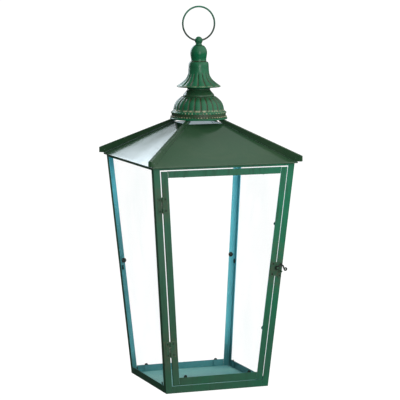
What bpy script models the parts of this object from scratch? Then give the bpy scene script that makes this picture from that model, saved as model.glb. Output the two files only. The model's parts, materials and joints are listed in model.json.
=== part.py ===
"""Tapered hanging lantern in painted sheet metal and glass.

Units are metres, +Z is up, the front face (the door) looks along -Y, and the origin is the
centre of the base underside. Every side face leans outward by the same taper, so a place on a
face is given by its distance along the face, its height, and its depth in from the face.
"""
import math

import bmesh
import bpy
from mathutils import Matrix, Vector

# Body: a four-sided frustum, 240 mm square at the foot, 327 mm square under the roof
BASE_HALF = 0.120
TAPER = 0.0862
BODY_TOP = 0.5053
GAP = 0.0003

# Corner posts, base rails and top rails are L angles and strips of 1.5 mm sheet
POST_FLANGE = 0.0145
FRAME_SHEET = 0.0015
BASE_RAIL_TOP = 0.016
TOP_RAIL_BOTTOM = 0.4966
TOP_RAIL_TOP = 0.5050
TOP_RAIL_LEG = 0.012

# Floor with a raised flat middle, and fixed panes
TRAY_HALF = 0.118
TRAY_THICK = 0.0012
TRAY_BORDER = 0.010
TRAY_STEP = 0.0012
TRAY_RISE = 0.0008
PANE_FRONT = 0.0018
PANE_BACK = 0.0038
PANE_EDGE = 0.0045
PANE_BOTTOM = 0.0016
PANE_TOP = 0.4960

# Pane clips: small round-ended tabs, and round ones at mid height on the back posts
CLIP_HALF = 0.004
CLIP_SHEET = 0.0008
CLIP_REACH = 0.0045
CLIP_PLACE = 0.085
ROUND_CLIP_RADIUS = 0.0055
ROUND_CLIP_INSET = 0.0115
BACK_CLIP_HEIGHT = 0.259
SIDE_CLIP_HEIGHT = 0.244

# Door in the front face, hinged on the left post
DOOR_GAP_HINGE = 0.0032
DOOR_GAP_LATCH = 0.0012
DOOR_BOTTOM = 0.0170
DOOR_TOP = 0.4941
STILE_WIDTH = 0.0145
DOOR_BOTTOM_RAIL = 0.0175
DOOR_TOP_RAIL = 0.0144
DOOR_SHEET = 0.0012
DOOR_DEPTH = 0.005
DOOR_PANE_THICK = 0.002
DOOR_PIVOT_HEIGHT = 0.2605
DOOR_CLIP_BOTTOM_PLACE = 0.075
DOOR_CLIP_TOP_PLACE = 0.092
DOOR_CLIP_REACH = 0.0012
DOOR_CLIP_HEIGHTS = (0.134, 0.368)

# Butt hinges: three knuckles on a pin that stands just proud of the face
HINGE_HEIGHTS = {"lower": 0.100, "upper": 0.421}
HINGE_LENGTH = 0.035
HINGE_PROUD = 0.002
KNUCKLE_RADIUS = 0.0022
KNUCKLE_BORE = 0.0013
HINGE_PIN_RADIUS = 0.0010
LEAF_WIDTH = 0.0105
LEAF_SHEET = 0.0009
WEB_START = 0.0004
WEB_LAP = 0.001
WEB_THINNER = 0.0001
PIN_OVERHANG = 0.001

# Latch, placed from the front right corner edge at this height
LATCH_HEIGHT = 0.265
CATCH_PLATE = (-0.0083, -0.0008, -0.019, 0.016)
CATCH_SHEET = 0.001
PEG_PLACE = (-0.0044, -0.003)
PEG_RADIUS = 0.002
PEG_PROUD = 0.0095
LATCH_PLATE = (-0.0285, -0.009, -0.015, 0.016)
LATCH_SHEET = 0.0012
PIVOT_PLACE = (-0.013, 0.0036)
STUD_RADIUS = 0.0016
STUD_HEAD_RADIUS = 0.0028
STUD_HEAD_THICK = 0.0012
HUB_RADIUS = 0.0052
LEVER_BACK = 0.0018
LEVER_FRONT = 0.0052
LEVER_WIRE = 0.0017
ARCH_CENTRE = (-0.0044, 0.0030)
ARCH_RADIUS = 0.0072
CURL_CENTRE = (0.0066, 0.0014)
CURL_RADIUS = 0.0026

# Roof: panels at one pitch with a turned-down lip, and flatter ribs over the hips
PITCH = 0.6315
EAVE_HALF = 0.1685
EAVE_HEIGHT = 0.504
LIP_BOTTOM = 0.5015
ROOF_SHEET = 0.001
PANEL_TOP_HALF = 0.0445
MITRE_GAP = 0.0005
RIB_HALF = 0.004
RIB_SHEET = 0.001
RIB_PITCH = 0.5528
RIB_END = 0.1752
RIB_END_TOP = 0.5177
RIB_END_BOTTOM = 0.5055
RIB_SEAT_TOP = 0.5900
RIB_SEAT_INNER = 0.036
RIB_SEAT_THICK = 0.004

# Crown on the centre line: dome, bell, cap, eye bolt and nut
BORE_RADIUS = 0.0034
SHANK_RADIUS = 0.0030
DOME_FLUTES = 24
DOME_FLUTE_DEPTH = 0.0016
BELL_FLUTES = 16
BELL_FLUTE_DEPTH = 0.0018
EYE_HEIGHT = 0.764
EYE_RADIUS = 0.0089
EYE_BORE = 0.0034
EYE_NECK_RADIUS = 0.0066
EYE_COLLAR = ((0.0088, 0.7534), (0.0075, 0.7546))
SHANK_LOW = 0.6285
NUT_RADIUS = 0.0078
NUT_BORE = 0.0040
NUT_SPAN = (0.6315, 0.6365)

# Bail ring through the eye
RING_RADIUS = 0.0375
RING_WIRE = 0.0020

SIDES = {
    "front": (Vector((0, -1, 0)), Vector((1, 0, 0))),
    "right": (Vector((1, 0, 0)), Vector((0, 1, 0))),
    "back": (Vector((0, 1, 0)), Vector((-1, 0, 0))),
    "left": (Vector((-1, 0, 0)), Vector((0, -1, 0))),
}
CORNERS = {
    "front_left": (-1, -1),
    "front_right": (1, -1),
    "back_right": (1, 1),
    "back_left": (-1, 1),
}


# ---------------------------------------------------------------- materials and objects

def linear(value):
    """One 0 to 255 colour value as the linear value that a shader takes."""
    share = value / 255
    if share <= 0.04045:
        return share / 12.92
    return ((share + 0.055) / 1.055) ** 2.4


def make_material(name, colour, roughness, metallic=0.0, transmission=0.0):
    """A Principled BSDF material from an everyday 0 to 255 colour."""
    material = bpy.data.materials.new(name)
    material.use_nodes = True
    shader = material.node_tree.nodes["Principled BSDF"]
    shader.inputs["Base Color"].default_value = (*[linear(value) for value in colour], 1)
    shader.inputs["Roughness"].default_value = roughness
    shader.inputs["Metallic"].default_value = metallic
    shader.inputs["Transmission Weight"].default_value = transmission
    return material


def add_object(name, mesh, material, frame=None):
    """Link a mesh as a named object, with its local frame placed in the world."""
    obj = bpy.data.objects.new(name, mesh)
    bpy.context.scene.collection.objects.link(obj)
    own_material = material.copy()
    own_material.name = f"{name}_{material.name}"
    mesh.materials.clear()
    mesh.materials.append(own_material)
    if frame is not None:
        obj.matrix_world = frame
    return obj


def add_tool(name, mesh, frame=None):
    """A hidden object that only shapes others through Boolean modifiers."""
    obj = bpy.data.objects.new(name, mesh)
    bpy.context.scene.collection.objects.link(obj)
    obj.hide_render = True
    obj.display_type = "WIRE"
    if frame is not None:
        obj.matrix_world = frame
    return obj


def combine(obj, tool, operation):
    """Join a tool onto an object, or cut it away."""
    modifier = obj.modifiers.new(tool.name, "BOOLEAN")
    modifier.operation = operation
    modifier.solver = "EXACT"
    modifier.object = tool


def finish_mesh(name, shape, smooth_angle=None):
    """Turn a bmesh into a mesh whose faces point outward."""
    bmesh.ops.recalc_face_normals(shape, faces=shape.faces)
    mesh = bpy.data.meshes.new(name)
    shape.to_mesh(mesh)
    shape.free()
    if smooth_angle is not None:
        mesh.shade_smooth()
        mesh.set_sharp_from_angle(angle=math.radians(smooth_angle))
    return mesh


# ---------------------------------------------------------------- solids

def prism_mesh(name, first, second):
    """A closed solid between two outlines with the same number of points."""
    shape = bmesh.new()
    low = [shape.verts.new(point) for point in first]
    high = [shape.verts.new(point) for point in second]
    shape.faces.new(low)
    shape.faces.new(high)
    for index, vertex in enumerate(low):
        following = (index + 1) % len(low)
        shape.faces.new((vertex, low[following], high[following], high[index]))
    return finish_mesh(name, shape)


def box_mesh(name, low, high):
    """A box between two corners."""
    shape = bmesh.new()
    bmesh.ops.create_cube(shape, size=1)
    size = Vector(high) - Vector(low)
    centre = (Vector(high) + Vector(low)) / 2
    bmesh.ops.scale(shape, vec=size, verts=shape.verts)
    bmesh.ops.translate(shape, vec=centre, verts=shape.verts)
    return finish_mesh(name, shape)


def rod_mesh(name, radius, start, end, sides=20):
    """A round rod between two points."""
    start, end = Vector(start), Vector(end)
    turn = Vector((0, 0, 1)).rotation_difference(end - start).to_matrix().to_4x4()
    shape = bmesh.new()
    bmesh.ops.create_cone(
        shape, cap_ends=True, segments=sides, radius1=radius, radius2=radius,
        depth=(end - start).length, matrix=Matrix.Translation((start + end) / 2) @ turn)
    return finish_mesh(name, shape, smooth_angle=40)


def turned_mesh(name, profile, segments, closed, shape_radius=None):
    """A profile of (radius, height) points spun about the Z axis.

    A closed profile goes round the section of a hollow piece, and an open one runs from a point
    on the axis to another. shape_radius(radius, height, angle) may carve flutes.
    """
    shape = bmesh.new()
    points = [shape.verts.new((radius, 0, height)) for radius, height in profile]
    edges = [shape.edges.new(pair) for pair in zip(points, points[1:])]
    if closed:
        edges.append(shape.edges.new((points[-1], points[0])))
    bmesh.ops.spin(
        shape, geom=points + edges, cent=(0, 0, 0), axis=(0, 0, 1), angle=math.tau,
        steps=segments, use_merge=True)
    bmesh.ops.remove_doubles(shape, verts=shape.verts, dist=0.000001)
    if shape_radius is not None:
        for vertex in shape.verts:
            radius = math.hypot(vertex.co.x, vertex.co.y)
            angle = math.atan2(vertex.co.y, vertex.co.x)
            share = shape_radius(radius, vertex.co.z, angle) / radius
            vertex.co.x *= share
            vertex.co.y *= share
    return finish_mesh(name, shape, smooth_angle=35)


def tube_mesh(name, points, radius):
    """A round wire with closed ends along a smooth run of points."""
    curve = bpy.data.curves.new(name, "CURVE")
    curve.dimensions = "3D"
    curve.bevel_depth = radius
    curve.bevel_resolution = 3
    curve.use_fill_caps = True
    spline = curve.splines.new("POLY")
    spline.points.add(len(points) - 1)
    for target, point in zip(spline.points, points):
        target.co = (*point, 1)
    holder = bpy.data.objects.new(name, curve)
    bpy.context.scene.collection.objects.link(holder)
    bpy.context.view_layer.update()
    evaluated = holder.evaluated_get(bpy.context.evaluated_depsgraph_get())
    mesh = bpy.data.meshes.new_from_object(evaluated)
    bpy.data.objects.remove(holder)
    return mesh


def arc_points(centre, radius, start_degrees, end_degrees, steps):
    """Points along a circular arc in a plane."""
    points = []
    for index in range(steps + 1):
        angle = math.radians(start_degrees + (end_degrees - start_degrees) * index / steps)
        points.append((centre[0] + radius * math.cos(angle), centre[1] + radius * math.sin(angle)))
    return points


# ---------------------------------------------------------------- places on the tapered body

def half_width(height):
    """Half the width of the body at a height."""
    return BASE_HALF + TAPER * height


def on_side(side, along, height, depth):
    """A point from its distance along a side, its height and its depth in from the face."""
    outward, direction = SIDES[side]
    point = outward * (half_width(height) - depth) + direction * along
    point.z = height
    return point


def upright_on_side(name, side, outline, low, high):
    """A solid that follows one corner edge of a side.

    The outline holds (end, inset, depth) points, where end is -1 or 1 for the side's left or
    right corner and inset is the distance in from that corner.
    """
    rings = []
    for height in (low, high):
        rings.append([
            on_side(side, end * (half_width(height) - inset), height, depth)
            for end, inset, depth in outline])
    return prism_mesh(name, *rings)


def bar_on_side(name, side, profile, left_inset, right_inset):
    """A bar across a side, from a profile of (height, depth) points."""
    rings = []
    for end, inset in ((-1, left_inset), (1, right_inset)):
        rings.append([
            on_side(side, end * (half_width(height) - inset), height, depth)
            for height, depth in profile])
    return prism_mesh(name, *rings)


def plate_on_side(name, side, outline, near, far):
    """A flat plate parallel to a side, from (along, height) points and two depths."""
    rings = [[on_side(side, along, height, depth) for along, height in outline]
             for depth in (near, far)]
    return prism_mesh(name, *rings)


def corner_frame(end, inset, proud, height):
    """Local axes on the front face: X right, Y inward, Z up along that corner edge."""
    upward = Vector((end * TAPER, -TAPER, 1)).normalized()
    inward = Vector((0, 1, TAPER)).normalized()
    rightward = inward.cross(upward)
    origin = on_side("front", end * (half_width(height) - inset), height, 0) - inward * proud
    frame = Matrix((rightward, inward, upward)).transposed().to_4x4()
    frame.translation = origin
    return frame


# ---------------------------------------------------------------- body

def build_posts(paint):
    """Four L-angle posts whose flanges lie in the two faces that meet there."""
    section = (
        (0, 0), (POST_FLANGE, 0), (POST_FLANGE, FRAME_SHEET),
        (FRAME_SHEET, FRAME_SHEET), (FRAME_SHEET, POST_FLANGE), (0, POST_FLANGE))
    for corner, (sign_x, sign_y) in CORNERS.items():
        rings = []
        for height in (0, BODY_TOP):
            half = half_width(height)
            rings.append([
                (sign_x * (half - inset_x), sign_y * (half - inset_y), height)
                for inset_x, inset_y in section])
        name = f"corner_post_{corner}"
        add_object(name, prism_mesh(name, *rings), paint)


def build_rails(paint):
    """A strip between the posts at the foot, and an L angle between them under the eaves."""
    base_profile = (
        (0, 0), (BASE_RAIL_TOP, 0), (BASE_RAIL_TOP, FRAME_SHEET), (0, FRAME_SHEET))
    top_profile = (
        (TOP_RAIL_BOTTOM, 0), (TOP_RAIL_TOP, 0), (TOP_RAIL_TOP, FRAME_SHEET),
        (TOP_RAIL_BOTTOM + FRAME_SHEET, FRAME_SHEET),
        (TOP_RAIL_BOTTOM + FRAME_SHEET, TOP_RAIL_LEG), (TOP_RAIL_BOTTOM, TOP_RAIL_LEG))
    inset = POST_FLANGE + GAP
    for side in SIDES:
        for place, profile in (("base", base_profile), ("top", top_profile)):
            name = f"{place}_rail_{side}"
            add_object(name, bar_on_side(name, side, profile, inset, inset), paint)


def build_tray(paint):
    """The floor, level with the foot of the rails, with a flat raised middle for the candle."""
    shape = bmesh.new()
    bmesh.ops.create_cube(shape, size=1)
    bmesh.ops.scale(shape, vec=(2 * TRAY_HALF, 2 * TRAY_HALF, TRAY_THICK), verts=shape.verts)
    bmesh.ops.translate(shape, vec=(0, 0, TRAY_THICK / 2), verts=shape.verts)
    top = [face for face in shape.faces if face.normal.z > 0.5]
    bmesh.ops.inset_individual(shape, faces=top, thickness=TRAY_BORDER)
    bmesh.ops.inset_individual(shape, faces=top, thickness=TRAY_STEP, depth=TRAY_RISE)
    add_object("base_tray", finish_mesh("base_tray", shape), paint)


def build_panes(glass):
    """Fixed panes behind the post flanges on the left, right and back."""
    outline = (
        (-1, PANE_EDGE, PANE_FRONT), (1, PANE_EDGE, PANE_FRONT),
        (1, PANE_EDGE, PANE_BACK), (-1, PANE_EDGE, PANE_BACK))
    for side in ("left", "right", "back"):
        name = f"glass_{side}"
        add_object(name, upright_on_side(name, side, outline, PANE_BOTTOM, PANE_TOP), glass)


def tab_outline(root, tip, half):
    """A strip from root to tip whose tip is a half circle, lying along the first axis."""
    outward = 1 if tip > root else -1
    centre = (tip - outward * half, 0)
    middle = 0 if outward > 0 else 180
    outline = arc_points(centre, half, middle - 90, middle + 90, 8)
    return [(root, outline[-1][1]), (root, outline[0][1])] + outline


def build_pane_clips(metal):
    """Tabs along the foot of each fixed pane, and round clips at mid height."""
    near = PANE_BACK + GAP
    far = near + CLIP_SHEET
    tip = BASE_RAIL_TOP + CLIP_REACH
    upright = tab_outline(PANE_BOTTOM, tip, CLIP_HALF)
    for side in ("left", "right", "back"):
        for number, place in ((1, -CLIP_PLACE), (2, CLIP_PLACE)):
            outline = [(place + across, height) for height, across in upright]
            name = f"pane_clip_{side}_{number}"
            add_object(name, plate_on_side(name, side, outline, near, far), metal)
    round_clips = (
        ("back", 1, BACK_CLIP_HEIGHT, "back_left"), ("back", -1, BACK_CLIP_HEIGHT, "back_right"),
        ("left", -1, SIDE_CLIP_HEIGHT, "left"), ("right", 1, SIDE_CLIP_HEIGHT, "right"))
    for side, end, height, label in round_clips:
        centre = (end * (half_width(height) - ROUND_CLIP_INSET), height)
        outline = arc_points(centre, ROUND_CLIP_RADIUS, 0, 345, 23)
        name = f"round_clip_{label}"
        add_object(name, plate_on_side(name, side, outline, near, far), metal)


# ---------------------------------------------------------------- roof

def roof_height(reach):
    """Height of the panels' top surface at a distance from the centre line."""
    return EAVE_HEIGHT + (EAVE_HALF - reach) * PITCH


def build_roof_panels(paint):
    """Four mitred panels, each folded down at the eave."""
    drop = ROOF_SHEET * math.hypot(1, PITCH)
    inner_eave = EAVE_HALF - ROOF_SHEET
    profile = (
        (PANEL_TOP_HALF, roof_height(PANEL_TOP_HALF)), (EAVE_HALF, EAVE_HEIGHT),
        (EAVE_HALF, LIP_BOTTOM), (inner_eave, LIP_BOTTOM),
        (inner_eave, roof_height(inner_eave) - drop),
        (PANEL_TOP_HALF, roof_height(PANEL_TOP_HALF) - drop))
    for side, (outward, direction) in SIDES.items():
        rings = []
        for end in (-1, 1):
            ring = []
            for reach, height in profile:
                point = outward * reach + direction * end * (reach - MITRE_GAP)
                point.z = height
                ring.append(point)
            rings.append(ring)
        name = f"roof_panel_{side}"
        add_object(name, prism_mesh(name, *rings), paint)


def on_hip(signs, reach, across, height):
    """A point over a roof corner line: reach is its X and Y distance, across is square to it."""
    sign_x, sign_y = signs
    shift = across / math.sqrt(2)
    return (sign_x * (reach + shift), sign_y * (reach - shift), height)


def hip_mesh(name, signs, outline, half):
    """A solid across a roof corner line, from (reach, height) points."""
    rings = [[on_hip(signs, reach, across, height) for reach, height in outline]
             for across in (-half, half)]
    return prism_mesh(name, *rings)


def build_roof_ribs(paint):
    """Folded channels over the hips, with a flat seat under the crown and a blunt tail."""
    top_reach = RIB_END - (RIB_SEAT_TOP - RIB_END_TOP) / RIB_PITCH
    inner_half = RIB_HALF - RIB_SHEET
    lift = GAP * math.hypot(1, PITCH)
    rest_shift = inner_half / math.sqrt(2)

    def rest(reach):
        return roof_height(reach + rest_shift) + lift

    wall_end = EAVE_HALF - rest_shift + GAP * 2
    seat_bottom = RIB_SEAT_TOP - RIB_SEAT_THICK
    seat_reach = EAVE_HALF - rest_shift - (seat_bottom - EAVE_HEIGHT - lift) / PITCH
    outline = (
        (RIB_SEAT_INNER, RIB_SEAT_TOP), (top_reach, RIB_SEAT_TOP), (RIB_END, RIB_END_TOP),
        (RIB_END, RIB_END_BOTTOM), (wall_end, RIB_END_BOTTOM), (wall_end, rest(wall_end)),
        (seat_reach, seat_bottom), (RIB_SEAT_INNER, seat_bottom))
    drop = RIB_SHEET * math.hypot(1, RIB_PITCH)
    hollow_start = PANEL_TOP_HALF - rest_shift - RIB_SHEET / 2
    hollow_end = RIB_END - RIB_SHEET
    hollow_top = RIB_SEAT_TOP - drop
    hollow = (
        (hollow_start, hollow_top), (top_reach, hollow_top),
        (hollow_end, RIB_END_TOP + RIB_SHEET * RIB_PITCH - drop),
        (hollow_end, RIB_END_BOTTOM - 2 * RIB_SEAT_THICK),
        (hollow_start, seat_bottom - 2 * RIB_SEAT_THICK))
    for corner, signs in CORNERS.items():
        name = f"roof_rib_{corner}"
        rib = add_object(name, hip_mesh(name, signs, outline, RIB_HALF), paint)
        cutter_name = f"hollow_of_{name}"
        cutter = add_tool(cutter_name, hip_mesh(cutter_name, signs, hollow, inner_half))
        combine(rib, cutter, "DIFFERENCE")


# ---------------------------------------------------------------- crown

def fluted(count, depth, low, high, inner_low, inner_high):
    """A rule that presses grooves into a turned surface between two heights.

    The inner skin stays round: it is what lies inside a cone, given by its radius at each height.
    """
    def shape_radius(radius, height, angle):
        share = (height - low) / (high - low)
        if not 0 < share < 1 or radius < inner_low + (inner_high - inner_low) * share:
            return radius
        fade = math.sin(math.pi * share) ** 0.5
        groove = 1 - abs(math.sin(count * angle / 2))
        return radius - depth * fade * groove
    return shape_radius


def build_crown(paint):
    """Cast crown pieces, stacked on the eye bolt and drawn together by its nut."""
    dome = (
        (0.0598, 0.5903), (0.0622, 0.5903), (0.0641, 0.5915), (0.0641, 0.5928), (0.0622, 0.5940),
        (0.0635, 0.5955), (0.0635, 0.5975), (0.0606, 0.5996), (0.0606, 0.6026), (0.0617, 0.6046),
        (0.0617, 0.6070), (0.0578, 0.6092), (0.0562, 0.6125), (0.0550, 0.6183), (0.0527, 0.6250),
        (0.0484, 0.6312), (0.0432, 0.6362), (0.0392, 0.6392), (0.0384, 0.6401),
        (BORE_RADIUS, 0.6401), (BORE_RADIUS, 0.6373), (0.0350, 0.6366), (0.0424, 0.6312),
        (0.0486, 0.6222), (0.0540, 0.6090), (0.0572, 0.6050), (0.0575, 0.5990))
    rule = fluted(DOME_FLUTES, DOME_FLUTE_DEPTH, 0.6085, 0.6392, 0.0563, 0.0392)
    mesh = turned_mesh("crown_dome", dome, DOME_FLUTES * 2, True, rule)
    add_object("crown_dome", mesh, paint)

    bell = (
        (0.0290, 0.6404), (0.0346, 0.6404), (0.0343, 0.6432), (0.0328, 0.6460), (0.0284, 0.6513),
        (0.0252, 0.6560), (0.0262, 0.6594), (0.0453, 0.6610), (0.0483, 0.6617), (0.0488, 0.6631),
        (0.0459, 0.6657), (0.0380, 0.6713), (0.0317, 0.6769), (0.0271, 0.6826), (0.0247, 0.6882),
        (0.0233, 0.6946), (0.0226, 0.7024), (0.0223, 0.7095), (0.0215, 0.7140), (0.0196, 0.7171),
        (0.0186, 0.7175), (BORE_RADIUS, 0.7175), (BORE_RADIUS, 0.7145), (0.0160, 0.7145),
        (0.0170, 0.7000), (0.0190, 0.6850), (0.0210, 0.6530))
    rule = fluted(BELL_FLUTES, BELL_FLUTE_DEPTH, 0.6625, 0.6930, 0.0220, 0.0220)
    mesh = turned_mesh("crown_bell", bell, BELL_FLUTES * 3, True, rule)
    add_object("crown_bell", mesh, paint)

    cap = (
        (BORE_RADIUS, 0.7178), (0.0172, 0.7178), (0.0170, 0.7212), (0.0171, 0.7245),
        (0.0181, 0.7307), (0.0187, 0.7378), (0.0183, 0.7415), (0.0172, 0.7450), (0.0141, 0.7504),
        (0.0115, 0.7531), (BORE_RADIUS, 0.7531))
    add_object("crown_cap", turned_mesh("crown_cap", cap, 40, True), paint)


def build_eye_bolt(paint, metal):
    """Ball with a cross hole for the bail ring, on a shank down through the crown."""
    start = -math.degrees(math.acos(EYE_NECK_RADIUS / EYE_RADIUS))
    ball = arc_points((0, EYE_HEIGHT), EYE_RADIUS, start, 90, 9)
    collar_height = EYE_COLLAR[0][1]
    profile = [
        (0, SHANK_LOW), (SHANK_RADIUS, SHANK_LOW), (SHANK_RADIUS, collar_height), *EYE_COLLAR,
        *ball[:-1], (0, EYE_HEIGHT + EYE_RADIUS)]
    bolt = add_object("eye_bolt", turned_mesh("eye_bolt", profile, 24, False), paint)
    reach = EYE_RADIUS * 2
    hole = rod_mesh("eye_hole", EYE_BORE, (-reach, 0, EYE_HEIGHT), (reach, 0, EYE_HEIGHT), 24)
    combine(bolt, add_tool("eye_hole", hole), "DIFFERENCE")

    low, high = NUT_SPAN
    nut = ((NUT_BORE, low), (NUT_RADIUS, low), (NUT_RADIUS, high), (NUT_BORE, high))
    add_object("crown_nut", turned_mesh("crown_nut", nut, 6, True), metal)


def build_bail_ring(paint):
    """A closed wire ring, upright, whose lowest point lies in the eye's cross hole."""
    shape = bmesh.new()
    bmesh.ops.create_circle(shape, cap_ends=False, segments=10, radius=RING_WIRE)
    turn = Matrix.Rotation(math.radians(90), 4, "Y")
    bmesh.ops.transform(shape, matrix=turn, verts=shape.verts)
    bmesh.ops.spin(
        shape, geom=list(shape.verts) + list(shape.edges), cent=(0, 0, RING_RADIUS),
        axis=(0, 1, 0), angle=math.tau, steps=60, use_merge=True)
    bmesh.ops.remove_doubles(shape, verts=shape.verts, dist=0.000001)
    mesh = finish_mesh("bail_ring", shape, smooth_angle=60)
    add_object("bail_ring", mesh, paint, Matrix.Translation((0, 0, EYE_HEIGHT)))


# ---------------------------------------------------------------- door

def door_insets():
    """Where the door's stiles start and end, as insets from the left and right corners."""
    left_outer = POST_FLANGE + DOOR_GAP_HINGE
    right_outer = POST_FLANGE + DOOR_GAP_LATCH
    return left_outer, left_outer + STILE_WIDTH, right_outer, right_outer + STILE_WIDTH


def build_door_frame(paint, door_parts):
    """Two folded stiles with two folded rails between them."""
    left_outer, left_inner, right_outer, right_inner = door_insets()
    for label, end, outer, inner in (
            ("hinge_side", -1, left_outer, left_inner),
            ("latch_side", 1, right_outer, right_inner)):
        section = (
            (end, outer, 0), (end, inner, 0), (end, inner, DOOR_SHEET),
            (end, outer + DOOR_SHEET, DOOR_SHEET), (end, outer + DOOR_SHEET, DOOR_DEPTH),
            (end, outer, DOOR_DEPTH))
        name = f"door_stile_{label}"
        mesh = upright_on_side(name, "front", section, DOOR_BOTTOM, DOOR_TOP)
        door_parts.append(add_object(name, mesh, paint))
    for label, outer, inner in (
            ("bottom", DOOR_BOTTOM, DOOR_BOTTOM + DOOR_BOTTOM_RAIL),
            ("top", DOOR_TOP, DOOR_TOP - DOOR_TOP_RAIL)):
        fold = outer + math.copysign(DOOR_SHEET, inner - outer)
        profile = (
            (outer, 0), (inner, 0), (inner, DOOR_SHEET), (fold, DOOR_SHEET),
            (fold, DOOR_DEPTH), (outer, DOOR_DEPTH))
        name = f"door_rail_{label}"
        mesh = bar_on_side(name, "front", profile, left_inner + GAP, right_inner + GAP)
        door_parts.append(add_object(name, mesh, paint))


def build_door_glass(glass, metal, door_parts):
    """The door's pane, behind the frame's front sheet, and the tabs that hold it."""
    left_outer, _, right_outer, right_inner = door_insets()
    edge = DOOR_SHEET + GAP
    near = DOOR_SHEET + GAP
    far = near + DOOR_PANE_THICK
    outline = (
        (-1, left_outer + edge, near), (1, right_outer + edge, near),
        (1, right_outer + edge, far), (-1, left_outer + edge, far))
    mesh = upright_on_side("door_glass", "front", outline, DOOR_BOTTOM + edge, DOOR_TOP - edge)
    door_parts.append(add_object("door_glass", mesh, glass))

    clip_near = far + GAP
    clip_far = clip_near + CLIP_SHEET
    bottom = tab_outline(DOOR_BOTTOM + edge, DOOR_BOTTOM + DOOR_BOTTOM_RAIL + CLIP_REACH, CLIP_HALF)
    top = tab_outline(DOOR_TOP - edge, DOOR_TOP - DOOR_TOP_RAIL - DOOR_CLIP_REACH, CLIP_HALF)
    outlines = {}
    for label, tab, place in (
            ("bottom", bottom, DOOR_CLIP_BOTTOM_PLACE), ("top", top, DOOR_CLIP_TOP_PLACE)):
        for number, sign in ((1, -1), (2, 1)):
            shifted = [(sign * place + across, height) for height, across in tab]
            outlines[f"door_clip_{label}_{number}"] = shifted
    for number, height in enumerate(DOOR_CLIP_HEIGHTS, 1):
        half = half_width(height)
        root = half - right_outer - edge - GAP
        tip = half - right_inner - DOOR_CLIP_REACH
        tab = tab_outline(root, tip, CLIP_HALF)
        shifted = [(along, height + across) for along, across in tab]
        outlines[f"door_clip_stile_{number}"] = shifted
    for name, outline in outlines.items():
        mesh = plate_on_side(name, "front", outline, clip_near, clip_far)
        door_parts.append(add_object(name, mesh, metal))


def hinge_frame(height):
    """Local axes on the hinge line, with Z along it."""
    inset = POST_FLANGE + DOOR_GAP_HINGE / 2
    return corner_frame(-1, inset, HINGE_PROUD, height)


def hinge_leaf(name, direction, knuckles, frame, metal):
    """One hinge leaf: a thin plate on the face with its knuckles round the pin."""
    plate_near = HINGE_PROUD - GAP
    plate_far = plate_near - LEAF_SHEET
    clear = KNUCKLE_RADIUS + GAP
    spans = sorted((direction * clear, direction * LEAF_WIDTH))
    half = HINGE_LENGTH / 2
    plate = box_mesh(name, (spans[0], plate_far, -half), (spans[1], plate_near, half))
    leaf = add_object(name, plate, metal, frame)
    for number, (low, high) in enumerate(knuckles, 1):
        root = sorted((direction * WEB_START, direction * (clear + WEB_LAP)))
        web = box_mesh(f"{name}_web_{number}", (root[0], plate_far + WEB_THINNER, low),
                       (root[1], plate_near - WEB_THINNER, high))
        barrel = rod_mesh(f"{name}_knuckle_{number}", KNUCKLE_RADIUS, (0, 0, low), (0, 0, high))
        combine(leaf, add_tool(web.name, web, frame), "UNION")
        combine(leaf, add_tool(barrel.name, barrel, frame), "UNION")
    bore = rod_mesh(f"{name}_bore", KNUCKLE_BORE, (0, 0, -HINGE_LENGTH), (0, 0, HINGE_LENGTH))
    combine(leaf, add_tool(bore.name, bore, frame), "DIFFERENCE")
    return leaf


def build_hinges(metal, door_parts):
    """Two butt hinges: outer knuckles on the post, the middle one on the door."""
    half = HINGE_LENGTH / 2
    third = HINGE_LENGTH / 3
    post_knuckles = ((-half, -half + third - GAP), (half - third + GAP, half))
    door_knuckle = ((-half + third, half - third),)
    for label, height in HINGE_HEIGHTS.items():
        frame = hinge_frame(height)
        hinge_leaf(f"hinge_leaf_post_{label}", -1, post_knuckles, frame, metal)
        door_parts.append(hinge_leaf(f"hinge_leaf_door_{label}", 1, door_knuckle, frame, metal))
        name = f"hinge_pin_{label}"
        pin_half = half + PIN_OVERHANG
        pin = rod_mesh(name, HINGE_PIN_RADIUS, (0, 0, -pin_half), (0, 0, pin_half), 16)
        add_object(name, pin, metal, frame)


# ---------------------------------------------------------------- latch

def latch_box(name, rectangle, near, far):
    """A plate over the face in latch axes: (left, right, low, high) and how far it is proud."""
    left, right, low, high = rectangle
    return box_mesh(name, (left, -far, low), (right, -near, high))


def build_latch(metal, door_parts):
    """Catch plate and peg on the post, plate and stud on the door, and the turning lever."""
    frame = corner_frame(1, 0, 0, LATCH_HEIGHT)

    catch_far = GAP + CATCH_SHEET
    catch = add_object(
        "catch_plate", latch_box("catch_plate", CATCH_PLATE, GAP, catch_far), metal, frame)
    peg_x, peg_z = PEG_PLACE
    peg_root = GAP + CATCH_SHEET / 2
    peg = rod_mesh("catch_peg", PEG_RADIUS, (peg_x, -peg_root, peg_z), (peg_x, -PEG_PROUD, peg_z))
    combine(catch, add_tool("catch_peg", peg, frame), "UNION")

    latch_far = GAP + LATCH_SHEET
    plate = add_object(
        "latch_plate", latch_box("latch_plate", LATCH_PLATE, GAP, latch_far), metal, frame)
    pivot_x, pivot_z = PIVOT_PLACE
    head_near = LEVER_FRONT + GAP
    head_far = head_near + STUD_HEAD_THICK
    stud = rod_mesh("latch_stud", STUD_RADIUS, (pivot_x, -GAP - LATCH_SHEET / 2, pivot_z),
                    (pivot_x, -head_near - STUD_HEAD_THICK / 2, pivot_z))
    head = rod_mesh("latch_stud_head", STUD_HEAD_RADIUS, (pivot_x, -head_near, pivot_z),
                    (pivot_x, -head_far, pivot_z))
    combine(plate, add_tool("latch_stud", stud, frame), "UNION")
    combine(plate, add_tool("latch_stud_head", head, frame), "UNION")
    door_parts.append(plate)

    build_latch_lever(metal, frame)


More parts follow.
